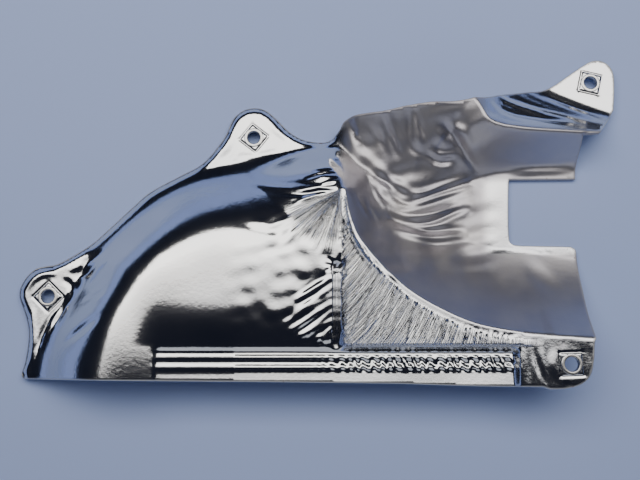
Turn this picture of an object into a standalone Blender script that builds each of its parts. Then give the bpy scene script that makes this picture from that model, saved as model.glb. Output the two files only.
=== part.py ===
"""Pressed sheet heat shield for an exhaust manifold: two metal skins with a mat between them,
hemmed round the edge, with a square plate and a rolled eyelet in each of its four ears."""
import math

import bpy
import numpy as np
from mathutils import Vector
from mathutils.geometry import delaunay_2d_cdt

MM = 0.001

# Stack through the sheet, measured down from the outer surface (mm).
SKIN = (0.0, 0.4)
MAT = (0.7, 1.7)
INNER = (2.0, 2.4)
HEM = (2.85, 3.25)
HEM_WIDTH = 2.3
HEM_WALL = 0.4
LAYER_INSET = 0.75

# Levels of the outer surface above the resting plane (mm).
EAR = 7.0
FLOOR = 3.2
PLATE = 38.0
TAB_RISE = 1.5
LEDGE_LEVEL = 31.8
LEDGE_LEAN = 0.07
LIP_DROP = 3.0
LIP_WIDTH = 4.5
RIB_RISE = 1.0
GROOVE_DEPTH = 1.5
SADDLE = 8.0
ROLL = 3.8
SHOULDER = ((0.10, 0.03), (0.605, 0.095))

# Ears: eyelet centre and the turn of its square plate in degrees.
EARS = {
    "left": (-176.8, -35.0, 46.0),
    "top": (-44.6, 72.3, 52.0),
    "right": (184.6, 111.2, -14.0),
    "corner": (150.7, -78.9, 2.0),
}
HOLE_R = 5.2
EYELET_IN = 4.35
EYELET_OUT = 4.85
EYELET_FLANGE = 6.5
EYELET_SHEET = 0.5
CLEAR = 0.3
SQUARE = 6.3
SQUARE_GAP = 0.4
FLAT_R = 11.0

# Trimmed edge, clockwise from the lower left corner (mm); open runs are smooth curves.
EDGE_RUNS = [
    [(-190.3, -87.8), (-191.9, -84.6), (-189.9, -76.3), (-188.7, -62.8), (-189.6, -53.8), (-192.6, -44.7),
     (-196.4, -35.5), (-196.3, -29.0), (-192.6, -21.6), (-187.0, -16.4), (-180.1, -14.6), (-171.9, -12.8),
     (-156.7, -3.9), (-146.5, 4.0), (-124.3, 25.7), (-113.4, 35.6), (-93.9, 46.6), (-81.5, 53.4),
     (-73.0, 61.8), (-64.5, 74.0), (-60.9, 83.1), (-57.2, 89.1), (-50.6, 93.4), (-43.0, 94.3),
     (-36.1, 92.1), (-28.3, 85.1), (-20.6, 77.2), (-11.0, 71.7), (0.5, 69.9), (7.6, 71.4), (12.4, 75.2),
     (16.4, 80.6), (24.0, 82.4), (40.1, 82.6), (52.5, 84.7), (70.0, 87.6), (90.0, 89.2), (106.8, 92.4),
     (121.3, 98.2), (139.6, 103.0), (151.0, 105.2), (160.5, 109.9), (169.5, 116.3), (180.5, 123.8),
     (186.4, 127.0), (192.6, 127.4), (198.0, 124.2), (201.0, 118.0), (200.9, 107.6), (199.2, 91.6)],
    [(199.2, 91.6), (193.4, 82.6), (181.4, 69.3)],
    [(181.4, 69.3), (170.9, 68.6)],
    [(170.9, 68.6), (172.2, 56.0), (171.8, 44.4)],
    [(171.8, 44.4), (128.6, 44.0)],
    [(128.6, 44.0), (127.0, 42.4), (125.9, 23.4), (125.6, 4.4), (127.6, 0.2), (133.0, -0.8)],
    [(133.0, -0.8), (166.0, -1.4)],
    [(166.0, -1.4), (169.3, -3.6), (169.7, -8.0)],
    [(169.7, -8.0), (169.2, -32.0), (167.6, -50.0), (166.4, -63.5)],
    [(166.4, -63.5), (165.3, -66.6), (164.3, -76.4), (161.6, -85.6), (155.8, -90.8), (147.3, -93.2),
     (137.6, -93.8)],
    [(137.6, -93.8), (134.0, -92.4)],
    [(134.0, -92.4), (97.4, -92.0), (48.4, -90.5)],
    [(48.4, -90.5), (-20.0, -89.6), (-99.5, -88.9), (-160.9, -88.2)],
    [(-160.9, -88.2), (-190.3, -87.8)],
]

# Foot and crest of the raised body, and foot and crest of the wall behind the channel.
BODY_FOOT = [(-187.0, -99.0), (-186.0, -88.4), (-182.0, -68.0), (-170.0, -44.0), (-157.5, -22.0),
             (-151.0, -6.0), (-143.5, 4.0), (-123.0, 24.0), (-104.0, 38.5), (-86.0, 47.5), (-72.0, 51.5),
             (-45.0, 57.0), (-12.0, 64.5), (4.0, 66.5), (15.0, 63.5), (26.8, 51.0),
             (40.0, 29.8), (51.0, 12.5), (73.2, 6.4), (99.6, 1.0), (125.9, -3.4), (170.0, -9.0),
             (190.0, -10.5)]
BODY_CREST = [(-111.0, -99.0), (-111.0, -88.0), (-108.0, -56.0), (-90.0, -32.0), (-62.0, -19.0),
              (-38.0, -18.0), (-15.0, -14.0), (2.0, -10.0), (13.7, 30.0), (17.6, 16.0), (21.5, 4.0),
              (27.8, -6.3), (39.9, -20.6), (54.9, -34.2), (72.9, -45.1), (93.9, -54.2), (117.9, -59.1),
              (142.0, -61.8), (166.1, -63.4), (190.0, -64.6)]
BACK_FOOT = [(2.0, 74.0), (12.0, 68.5), (26.9, 56.5), (44.2, 40.5), (59.5, 31.0), (78.6, 36.5),
             (107.1, 45.4), (128.1, 48.9), (172.0, 50.3), (195.0, 51.0)]
BACK_CREST = [(-1.0, 76.0, 6.0), (6.0, 79.0, 13.0), (11.7, 83.0, 19.0), (18.4, 88.0, 25.0),
              (28.5, 88.0, 31.0), (40.1, 89.0, 35.0), (52.5, 91.0, 37.0), (76.0, 94.0, 37.5),
              (96.0, 93.0, 36.5), (103.0, 84.0, 36.0), (108.4, 75.0, 36.0), (121.2, 71.4, 35.0),
              (140.9, 70.2, 33.0), (166.0, 69.9, 29.0), (184.0, 69.6, 26.5), (200.0, 69.0, 24.0)]
EAR_CHORD = [(150.0, 112.0), (157.0, 106.5), (178.0, 97.0), (198.9, 89.0), (206.0, 86.0)]
LEDGE = (-99.5, 118.4)
LEDGE_TOP = -67.4
LEDGE_FOOT = -72.2
RIBS = (-74.6, -80.6)
GROOVE_X = 10.3
GROOVE_END = -22.0
JOGGLE = (136.0, 142.5)
GRID = 11.5


def ramp(low, high, value):
    t = np.clip((value - low) / (high - low), 0.0, 1.0)
    return t * t * (3.0 - 2.0 * t)


def spline(points, step):
    """Catmull-Rom curve through the points, resampled at about the step."""
    p = np.array(points, float)
    if len(p) == 2:
        p = np.array([p[0], p[0] * 0.5 + p[1] * 0.5, p[1]])
    padded = np.vstack([2 * p[0] - p[1], p, 2 * p[-1] - p[-2]])
    fine = []
    for i in range(1, len(padded) - 2):
        a, b, c, d = padded[i - 1:i + 3]
        for t in np.linspace(0.0, 1.0, 12, endpoint=False):
            fine.append(0.5 * (2 * b + (c - a) * t + (2 * a - 5 * b + 4 * c - d) * t * t
                               + (3 * b - a - 3 * c + d) * t ** 3))
    fine.append(padded[-2])
    fine = np.array(fine)
    length = np.concatenate([[0.0], np.cumsum(np.linalg.norm(np.diff(fine[:, :2], axis=0), axis=1))])
    count = max(1, round(length[-1] / step))
    at = np.linspace(0.0, length[-1], count + 1)
    return np.stack([np.interp(at, length, fine[:, k]) for k in range(fine.shape[1])], axis=1)


def nearest(x, y, line):
    """Distance to a polyline and the line's own third value there."""
    best = np.full(x.shape, 1e9)
    level = np.zeros(x.shape)
    for a, b in zip(line[:-1], line[1:]):
        ex, ey = b[0] - a[0], b[1] - a[1]
        t = np.clip(((x - a[0]) * ex + (y - a[1]) * ey) / (ex * ex + ey * ey), 0.0, 1.0)
        d = np.hypot(x - a[0] - t * ex, y - a[1] - t * ey)
        hit = d < best
        best = np.where(hit, d, best)
        if line.shape[1] > 2:
            level = np.where(hit, a[2] + t * (b[2] - a[2]), level)
    return best, level


def inside(x, y, loop):
    found = np.zeros(x.shape, bool)
    for a, b in zip(loop, np.roll(loop, -1, axis=0)):
        crosses = (a[1] > y) != (b[1] > y)
        reach = a[0] + (y - a[1]) * (b[0] - a[0]) / (b[1] - a[1] if b[1] != a[1] else 1e-9)
        found ^= crosses & (x < reach)
    return found


bodyFoot = spline(BODY_FOOT, 6.0)
bodyCrest = spline(BODY_CREST, 5.0)
backFoot = spline(BACK_FOOT, 6.0)
backCrest = spline(BACK_CREST, 6.0)
earChord = spline(EAR_CHORD, 6.0)
bodyArea = np.vstack([bodyFoot[:, :2], [(240, -160), (-240, -160)]])
crestArea = np.vstack([bodyCrest[:, :2], [(240, -160), (-240, -160)]])
backArea = np.vstack([backFoot[:, :2], [(260, 51), (260, 200), (-1, 200), (-1, 76)]])
scoopArea = np.vstack([backCrest[7:, :2], [(260, 69), (260, 200), (76, 200)]])
chordArea = np.vstack([earChord[:, :2], [(260, 86), (260, 200), (150, 200)]])


def rolled(t):
    """A low foot, a steep straight wall, and a roll over into a level top."""
    (foot, footWidth), (turn, width) = SHOULDER
    start = footWidth * np.log((1 + np.exp((t - foot) / footWidth)) / (1 + math.exp(-foot / footWidth)))
    start = 0.45 * t + 0.55 * start
    return start - width * np.log((1 + np.exp((t - turn) / width)) / (1 + math.exp(-turn / width)))


def sheet(x, y):
    """Height of the outer surface before the edge lip and the flat ears."""
    base = EAR + SADDLE * ramp(4.0, 24.0, x) - (EAR + SADDLE - FLOOR) * ramp(22.0, 118.0, x)
    plate = PLATE + TAB_RISE * ramp(*JOGGLE, x) * ramp(-40.0, -60.0, y)
    fading = ramp(24.0, -4.0, x) * ramp(-116.0, -96.0, x)
    plate = plate - ROLL * np.clip((-38.0 - y) / 29.0, 0.0, 1.0) ** 2 * fading
    footGap, _ = nearest(x, y, bodyFoot)
    crestGap, _ = nearest(x, y, bodyCrest)
    up = footGap / (footGap + crestGap + 1e-9)
    up = np.where(inside(x, y, bodyArea), up, 0.0)
    up = np.where(inside(x, y, crestArea), 1.0, up)
    shoulder = rolled(up) / rolled(1.0)
    bank = 0.42 * up + 0.58 * up * up
    sharp = ramp(-2.0, 34.0, x)
    body = (plate - base) * (shoulder + (bank - shoulder) * sharp)
    backGap, _ = nearest(x, y, backFoot)
    topGap, top = nearest(x, y, backCrest)
    rise = backGap / (backGap + topGap + 1e-9)
    rise = np.where(inside(x, y, backArea), rise, 0.0)
    back = (top - base) * (0.35 * rise + 0.65 * ramp(0.0, 1.15, rise) / ramp(0.0, 1.15, 1.0))
    chordGap, _ = nearest(x, y, earChord)
    fall = topGap / (topGap + chordGap + 1e-9)
    scoop = (top - base) + (EAR - top) * (1.0 - (1.0 - fall) ** 1.5)
    back = np.where(inside(x, y, scoopArea), scoop, back)
    back = np.where(inside(x, y, chordArea), EAR - base, back)
    gap = body - back
    z = base + np.maximum(body, back) + 0.25 * np.maximum(0.0, 3.0 - np.abs(gap)) ** 2 / 3.0 * (
        np.minimum(body, back) > 0.01)
    span = ramp(LEDGE[0] - 3.0, LEDGE[0] + 2.0, x) * ramp(LEDGE[1] + 3.0, LEDGE[1] - 2.0, x)
    level = LEDGE_LEVEL + LEDGE_LEAN * np.maximum(0.0, -82.0 - y)
    z = z + (level - z) * ramp(LEDGE_TOP, LEDGE_FOOT, y) * span
    for rib in RIBS:
        z = z + RIB_RISE * np.exp(-((y - rib) / 1.6) ** 2) * span
    groove = np.exp(-((x - GROOVE_X) / 2.4) ** 2) * ramp(GROOVE_END + 6.0, GROOVE_END, y)
    return z - GROOVE_DEPTH * groove * ramp(LEDGE_TOP - 3.0, LEDGE_TOP, y)


def outline():
    """The trimmed edge as one closed loop of points."""
    loop = []
    for run in EDGE_RUNS:
        loop += list(spline(run, 8.5)[:-1])
    return np.array(loop)


edge = outline()
edgeLoop = np.vstack([edge, edge[:1]])
lipRun = edge[:int(np.argmax(edge[:, 0] > 2.0)) + 1]


def surface(x, y):
    x = np.asarray(x, float)
    y = np.asarray(y, float)
    z = sheet(x, y)
    lipGap, _ = nearest(x, y, lipRun)
    near = ramp(LIP_WIDTH, 0.0, lipGap)
    z = z - (np.minimum(LIP_DROP, z - EAR + LIP_DROP)) * near * ramp(12.0, 9.0, z)
    for cx, cy, _ in EARS.values():
        level = EAR if cy > -60.0 else PLATE + TAB_RISE
        z = z + (level - z) * ramp(FLAT_R + 5.0, FLAT_R, np.hypot(x - cx, y - cy))
    return z


def uprightness(x, y):
    """Upward part of the surface's unit normal, from central differences."""
    h = 0.6
    zx = (surface(x + h, y) - surface(x - h, y)) / (2 * h)
    zy = (surface(x, y + h) - surface(x, y - h)) / (2 * h)
    return np.maximum(0.5, 1.0 / np.sqrt(1.0 + zx * zx + zy * zy))


def insetLoop(loop, gap):
    before = loop - np.roll(loop, 1, axis=0)
    after = np.roll(loop, -1, axis=0) - loop
    before /= np.linalg.norm(before, axis=1, keepdims=True)
    after /= np.linalg.norm(after, axis=1, keepdims=True)
    n1 = np.stack([before[:, 1], -before[:, 0]], axis=1)
    n2 = np.stack([after[:, 1], -after[:, 0]], axis=1)
    mid = n1 + n2
    mid /= np.linalg.norm(mid, axis=1, keepdims=True)
    return loop + mid * (gap / np.maximum(0.45, (mid * n1).sum(axis=1)))[:, None]


def circle(cx, cy, r, count):
    turn = np.arange(count) * 2 * math.pi / count
    return np.stack([cx + r * np.cos(turn), cy + r * np.sin(turn)], axis=1)


def squareLoop(cx, cy, turn, half, split=2):
    corners = [(-half, -half), (half, -half), (half, half), (-half, half)]
    c, s = math.cos(math.radians(turn)), math.sin(math.radians(turn))
    points = []
    for a, b in zip(corners, corners[1:] + corners[:1]):
        for k in range(split):
            u = a[0] + (b[0] - a[0]) * k / split
            v = a[1] + (b[1] - a[1]) * k / split
            points.append((cx + u * c - v * s, cy + u * s + v * c))
    return np.array(points)


def coreMesh():
    """One triangulated plan shared by every layer: points, faces and what each face lies in."""
    rim = insetLoop(edge, LAYER_INSET)
    second = insetLoop(edge, HEM_WIDTH)
    points, edges = [], []

    def addLoop(loop, closed=True):
        start = len(points)
        points.extend([tuple(p) for p in loop])
        count = len(loop)
        for i in range(count if closed else count - 1):
            edges.append((start + i, start + (i + 1) % count))

    addLoop(rim)
    addLoop(second)
    keepOut = []
    for cx, cy, turn in EARS.values():
        addLoop(circle(cx, cy, HOLE_R, 16))
        addLoop(squareLoop(cx, cy, turn, SQUARE + SQUARE_GAP))
        keepOut.append((cx, cy, 11.0))
    looped = len(points)
    lines = []
    crest = bodyCrest[int(np.argmin(np.hypot(bodyCrest[:, 0] - 13.7, bodyCrest[:, 1] - 30.0)))::2]
    crest = crest[crest[:, 0] < 162.0]
    lines.append(crest)
    lines.append(np.array([(x, LEDGE_TOP) for x in np.linspace(LEDGE[0] + 2, LEDGE[1] - 2, 22)]))
    lines.append(np.array([(x, LEDGE_FOOT) for x in np.linspace(LEDGE[0] + 2, LEDGE[1] - 2, 22)]))
    ridge = backCrest[(backCrest[:, 0] > 107.0) & (backCrest[:, 0] < 178.0)]
    lines.append(ridge[:, :2])
    foot = bodyFoot[2:-4]
    lines.append(foot[(foot[:, 0] > -176.0) & (foot[:, 0] < 120.0)])
    for line in lines:
        addLoop(line[:, :2], False)
    for cx, cy, _ in EARS.values():
        points.extend([tuple(p) for p in circle(cx, cy, FLAT_R + 2.5, 9)])
    for (ax, ay), (bx, by) in zip(crest[1:-1], crest[2:]):
        run = math.hypot(bx - ax, by - ay)
        for side in (-4.5, 4.5):
            points.append(((ax + bx) / 2 - side * (by - ay) / run, (ay + by) / 2 + side * (bx - ax) / run))
    taken = np.array(points)
    row = 0
    y = -92.0
    while y < 128.0:
        x = -196.0 + (row % 2) * GRID / 2
        while x < 202.0:
            if np.hypot(taken[:, 0] - x, taken[:, 1] - y).min() > GRID * 0.55:
                if not any(math.hypot(x - k[0], y - k[1]) < k[2] for k in keepOut):
                    points.append((x, y))
            x += GRID
        row += 1
        y += GRID * 0.87
    spread = np.array(points)
    good = inside(spread[:, 0], spread[:, 1], insetLoop(edge, HEM_WIDTH + 1.2))
    keep = [i for i in range(len(points)) if i < looped or good[i]]
    number = {old: new for new, old in enumerate(keep)}
    edges = [(number[a], number[b]) for a, b in edges if a in number and b in number]
    flat = [Vector(points[i]) for i in keep]
    result = delaunay_2d_cdt(flat, edges, [list(range(len(rim)))], 1, 1e-5)
    xy = np.array([tuple(v) for v in result[0]])
    faces = np.array(result[2])
    a, b, c = xy[faces[:, 0]], xy[faces[:, 1]], xy[faces[:, 2]]
    area = (b[:, 0] - a[:, 0]) * (c[:, 1] - a[:, 1]) - (b[:, 1] - a[:, 1]) * (c[:, 0] - a[:, 0])
    faces = np.where(area[:, None] < 0, faces[:, ::-1], faces)
    centre = (a + b + c) / 3
    hole = np.zeros(len(faces), bool)
    square = np.zeros(len(faces), bool)
    for cx, cy, turn in EARS.values():
        hole |= np.hypot(centre[:, 0] - cx, centre[:, 1] - cy) < HOLE_R
        loop = squareLoop(cx, cy, turn, SQUARE + SQUARE_GAP)
        square |= inside(centre[:, 0], centre[:, 1], loop)
    return xy, faces, hole, square


class Solid:
    """Gathers vertices and faces in millimetres and makes one object of them."""

    def __init__(self):
        self.vertices = []
        self.faces = []

    def add(self, xyz):
        start = len(self.vertices)
        self.vertices.extend([tuple(map(float, p)) for p in xyz])
        return np.arange(start, len(self.vertices))

    def band(self, lower, upper, leaning=()):
        count = len(lower)
        for i in range(count):
            j = (i + 1) % count
            if i in leaning:
                self.faces.append((lower[i], lower[j], upper[i]))
                self.faces.append((lower[j], upper[j], upper[i]))
            else:
                self.faces.append((lower[i], lower[j], upper[j]))
                self.faces.append((lower[i], upper[j], upper[i]))

    def make(self, name, colour, metallic, roughness, shift):
        used = sorted({i for face in self.faces for i in face})
        number = {old: new for new, old in enumerate(used)}
        placed = [tuple((np.array(self.vertices[i]) + shift) * MM) for i in used]
        mesh = bpy.data.meshes.new(name)
        mesh.from_pydata(placed, [], [tuple(number[i] for i in face) for face in self.faces])
        mesh.validate()
        mesh.update()
        thing = bpy.data.objects.new(name, mesh)
        bpy.context.scene.collection.objects.link(thing)
        material = bpy.data.materials.new(name)
        material.use_nodes = True
        shader = material.node_tree.nodes["Principled BSDF"]
        shader.inputs["Base Color"].default_value = (*colour, 1.0)
        shader.inputs["Metallic"].default_value = metallic
        shader.inputs["Roughness"].default_value = roughness
        mesh.materials.append(material)
        for face in mesh.polygons:
            face.use_smooth = True
        return thing


def boundaryEdges(faces):
    seen = {}
    for face in faces:
        for i in range(3):
            seen[(face[i], face[(i + 1) % 3])] = True
    return [e for e in seen if (e[1], e[0]) not in seen]


def layerSolid(xy, z, up, faces, depths):
    solid = Solid()
    top = solid.add(np.column_stack([xy, z - depths[0] / up]))
    low = solid.add(np.column_stack([xy, z - depths[1] / up]))
    for face in faces:
        solid.faces.append(tuple(top[face]))
        solid.faces.append(tuple(low[face][::-1]))
    for a, b in boundaryEdges([tuple(f) for f in faces]):
        solid.faces.append((top[b], top[a], low[a]))
        solid.faces.append((top[b], low[a], low[b]))
    return solid


def outerSolid(xy, z, up, faces):
    """Outer skin with its hem wrapped round the edges of the layers under it."""
    solid = Solid()
    top = solid.add(np.column_stack([xy, z - SKIN[0] / up]))
    low = solid.add(np.column_stack([xy, z - SKIN[1] / up]))
    for face in faces:
        solid.faces.append(tuple(top[face]))
        solid.faces.append(tuple(low[face][::-1]))
    rimCount = len(edge)
    rim = insetLoop(edge, LAYER_INSET)
    match = [int(np.argmin(np.hypot(xy[:, 0] - p[0], xy[:, 1] - p[1]))) for p in rim]
    ring = {match[i] for i in range(rimCount)}
    for a, b in boundaryEdges([tuple(f) for f in faces]):
        if a in ring and b in ring:
            continue
        solid.faces.append((top[b], top[a], low[a]))
        solid.faces.append((top[b], low[a], low[b]))

    second = insetLoop(edge, HEM_WIDTH)
    rimZ, rimUp = surface(rim[:, 0], rim[:, 1]), uprightness(rim[:, 0], rim[:, 1])
    secondZ, secondUp = surface(second[:, 0], second[:, 1]), uprightness(second[:, 0], second[:, 1])

    def loopAt(gap, depth):
        along = (gap - LAYER_INSET) / (HEM_WIDTH - LAYER_INSET)
        inner, outer = secondZ - depth / secondUp, rimZ - depth / rimUp
        return solid.add(np.column_stack([insetLoop(edge, gap), outer + (inner - outer) * along]))

    joined = {tuple(sorted((f[i], f[(i + 1) % 3]))) for f in faces for i in range(3)}
    inward = [int(np.argmin(np.hypot(xy[:, 0] - p[0], xy[:, 1] - p[1]))) for p in second]
    forward = [i for i in range(rimCount)
               if tuple(sorted((match[(i + 1) % rimCount], inward[i]))) in joined]
    backward = [i for i in range(rimCount) if i not in forward]
    outTop = loopAt(0.0, SKIN[0])
    outLow = loopAt(0.0, HEM[1])
    tipLow = loopAt(HEM_WIDTH, HEM[1])
    tipTop = loopAt(HEM_WIDTH, HEM[0])
    bendLow = loopAt(HEM_WALL, HEM[0])
    bendTop = loopAt(HEM_WALL, SKIN[1])
    chain = [top[match], outTop, outLow, tipLow, tipTop, bendLow, bendTop, low[match]]
    lean = [(), (), forward, (), backward, (), ()]
    for one, two, side in zip(chain[:-1], chain[1:], lean):
        solid.band(one, two, side)
    return solid


def plateSolid(cx, cy, turn, level):
    solid = Solid()
    outer = squareLoop(cx, cy, turn, SQUARE, 4)
    angle = math.radians(turn + 225.0) + np.arange(16) * math.pi / 8
    bore = np.stack([cx + HOLE_R * np.cos(angle), cy + HOLE_R * np.sin(angle)], axis=1)
    high, deep = level - MAT[0], level - MAT[1]
    rings = [np.column_stack([loop, np.full(16, h)]) for loop, h in
             ((bore, high), (outer, high), (outer, deep), (bore, deep))]
    ids = [solid.add(r) for r in rings]
    for one, two in zip(ids, ids[1:] + ids[:1]):
        solid.band(two, one)
    return solid


def eyeletSolid(cx, cy, level):
    """Rolled eyelet: a tube through the stack with a flange above and below it."""
    high = level + CLEAR
    deep = level - INNER[1] - CLEAR
    t = EYELET_SHEET
    profile = [(EYELET_IN, high + t - 0.3), (EYELET_IN + 0.35, high + t), (EYELET_FLANGE - 0.25, high + t),
               (EYELET_FLANGE, high + t - 0.2), (EYELET_FLANGE, high), (EYELET_OUT, high),
               (EYELET_OUT, deep), (EYELET_FLANGE, deep), (EYELET_FLANGE, deep - t),
               (EYELET_IN + 0.35, deep - t), (EYELET_IN, deep - t + 0.3)]
    solid = Solid()
    rings = []
    for r, h in profile:
        rings.append(solid.add(np.column_stack([circle(cx, cy, r, 24), np.full(24, h)])))
    for one, two in zip(rings, rings[1:] + rings[:1]):
        solid.band(two, one)
    return solid


def main():
    for thing in list(bpy.data.objects):
        bpy.data.objects.remove(thing, do_unlink=True)
    xy, faces, hole, square = coreMesh()
    z = surface(xy[:, 0], xy[:, 1])
    up = uprightness(xy[:, 0], xy[:, 1])
    solids = {
        "outer_skin": outerSolid(xy, z, up, faces[~hole]),
        "insulation_mat": layerSolid(xy, z, up, faces[~(hole | square)], MAT),
        "inner_skin": layerSolid(xy, z, up, faces[~hole], INNER),
    }
    for name, (cx, cy, turn) in EARS.items():
        level = float(surface(np.array([cx]), np.array([cy]))[0])
        solids["plate_" + name] = plateSolid(cx, cy, turn, level)
        solids["eyelet_" + name] = eyeletSolid(cx, cy, level)
    everything = np.array([v for solid in solids.values() for v in solid.vertices])
    low, high = everything.min(axis=0), everything.max(axis=0)
    shift = np.array([-(low[0] + high[0]) / 2, -(low[1] + high[1]) / 2, -low[2]])
    print("shift", shift, "size", high - low)
    looks = {
        "outer_skin": ((0.80, 0.79, 0.77), 1.0, 0.16),
        "insulation_mat": ((0.55, 0.53, 0.48), 0.0, 0.9),
        "inner_skin": ((0.74, 0.73, 0.71), 1.0, 0.3),
        "plate": ((0.55, 0.55, 0.56), 1.0, 0.4),
        "eyelet": ((0.68, 0.67, 0.65), 1.0, 0.28),
    }
    for name, solid in solids.items():
        colour, metallic, roughness = looks.get(name) or looks[name.split("_")[0]]
        solid.make(name, colour, metallic, roughness, shift)
        print(name, len(solid.faces), "faces")


main()
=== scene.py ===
import math
import random

import bpy
import numpy as np
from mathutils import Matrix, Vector
from mathutils.geometry import delaunay_2d_cdt


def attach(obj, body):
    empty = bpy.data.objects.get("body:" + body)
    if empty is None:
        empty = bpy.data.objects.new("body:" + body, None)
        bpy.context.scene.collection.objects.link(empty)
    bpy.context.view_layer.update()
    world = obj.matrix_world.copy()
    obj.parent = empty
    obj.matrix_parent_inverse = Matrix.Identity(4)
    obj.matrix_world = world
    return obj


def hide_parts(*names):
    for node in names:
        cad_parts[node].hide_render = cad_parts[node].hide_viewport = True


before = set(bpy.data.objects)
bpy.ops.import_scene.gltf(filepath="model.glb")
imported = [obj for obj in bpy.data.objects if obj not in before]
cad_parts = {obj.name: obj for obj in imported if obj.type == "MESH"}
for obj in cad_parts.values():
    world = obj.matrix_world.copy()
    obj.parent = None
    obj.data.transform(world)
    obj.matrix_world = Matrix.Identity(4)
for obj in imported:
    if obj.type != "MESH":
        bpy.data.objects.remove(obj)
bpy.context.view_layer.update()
print("frame loaded")

# The sheet is drawn in millimetres, and this shift takes the drawing into the frame.
toFrame = (-2.26, -16.91, 0.07)
millimetre = 0.001

# Heights and widths of the pressed form.
levels = {"ear": 7.0, "floor": 3.2, "plate": 38.0, "tabRise": 1.5, "ledge": 31.8, "ledgeLean": 0.07,
          "lipDrop": 3.0, "lipWidth": 4.5, "lowOnly": (12.0, 9.0), "flatRadius": 9.6, "flatBlend": 5.0,
          "saddle": 8.0, "roll": 3.8, "rib": 1.0, "ribWidth": 1.6, "groove": 1.5, "grooveWidth": 2.4}
# How the walls climb: parts of the way up, and the shares of straight slope in them.
walls = {"foot": 0.10, "footWidth": 0.03, "turn": 0.605, "turnWidth": 0.095, "straight": 0.45,
         "bankStraight": 0.42, "bankCurved": 0.58, "backStraight": 0.35, "backReach": 1.15, "scoopPower": 1.5,
         "blend": 3.0}
# Depths of the layers below the upper face, their openings, and how finely they are meshed.
stack = {"skin": (0.0, 0.4), "mat": (1.25, 1.75), "inner": (2.0, 2.4), "hemWidth": 2.3, "hemRounding": 0.5,
         "inset": 0.75, "hole": 5.2, "holeSides": 32, "square": 6.6, "squareSteps": 10, "squareMargin": 0.8,
         "edgeMargin": 1.25, "step": 1.75, "fineStep": 0.95, "innerStep": 2.4, "outlineStep": 1.5,
         "innerOutlineStep": 2.6, "extent": (-198.0, -96.0, 203.0, 130.0),
         "crumpled": (-52.0, -92.0, 122.0, 44.0)}
# The square plates print through the skin: a raised square with a moat round it.
press = {"half": 6.3, "rise": 0.32, "edge": (0.5, -0.3), "moat": 0.45, "moatAt": 0.7, "moatWidth": 0.62,
         "fine": 0.62, "reach": 10.5}
ears = {                                             # centre, and the turn of its square
    "left": (-176.8, -35.0, 46.0),
    "top": (-44.6, 72.3, 52.0),
    "right": (184.6, 111.2, -14.0),
    "corner": (150.7, -78.9, 2.0),
}
tabNorth = -60.0                                     # an ear south of this sits on the raised tab
edgeRuns = [
    [(-190.3, -87.8), (-191.9, -84.6), (-189.9, -76.3), (-188.7, -62.8), (-189.6, -53.8), (-192.6, -44.7),
     (-196.4, -35.5), (-196.3, -29.0), (-192.6, -21.6), (-187.0, -16.4), (-180.1, -14.6), (-171.9, -12.8),
     (-156.7, -3.9), (-146.5, 4.0), (-124.3, 25.7), (-113.4, 35.6), (-93.9, 46.6), (-81.5, 53.4),
     (-73.0, 61.8), (-64.5, 74.0), (-60.9, 83.1), (-57.2, 89.1), (-50.6, 93.4), (-43.0, 94.3),
     (-36.1, 92.1), (-28.3, 85.1), (-20.6, 77.2), (-11.0, 71.7), (0.5, 69.9), (7.6, 71.4), (12.4, 75.2),
     (16.4, 80.6), (24.0, 82.4), (40.1, 82.6), (52.5, 84.7), (70.0, 87.6), (90.0, 89.2), (106.8, 92.4),
     (121.3, 98.2), (139.6, 103.0), (151.0, 105.2), (160.5, 109.9), (169.5, 116.3), (180.5, 123.8),
     (186.4, 127.0), (192.6, 127.4), (198.0, 124.2), (201.0, 118.0), (200.9, 107.6), (199.2, 91.6)],
    [(199.2, 91.6), (193.4, 82.6), (181.4, 69.3)],
    [(181.4, 69.3), (170.9, 68.6)],
    [(170.9, 68.6), (172.2, 56.0), (171.8, 44.4)],
    [(171.8, 44.4), (128.6, 44.0)],
    [(128.6, 44.0), (127.0, 42.4), (125.9, 23.4), (125.6, 4.4), (127.6, 0.2), (133.0, -0.8)],
    [(133.0, -0.8), (166.0, -1.4)],
    [(166.0, -1.4), (169.3, -3.6), (169.7, -8.0)],
    [(169.7, -8.0), (169.2, -32.0), (167.6, -50.0), (166.4, -63.5)],
    [(166.4, -63.5), (165.3, -66.6), (164.3, -76.4), (161.6, -85.6), (155.8, -90.8), (147.3, -93.2),
     (137.6, -93.8)],
    [(137.6, -93.8), (134.0, -92.4)],
    [(134.0, -92.4), (97.4, -92.0), (48.4, -90.5)],
    [(48.4, -90.5), (-20.0, -89.6), (-99.5, -88.9), (-160.9, -88.2)],
    [(-160.9, -88.2), (-190.3, -87.8)],
]
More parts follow.
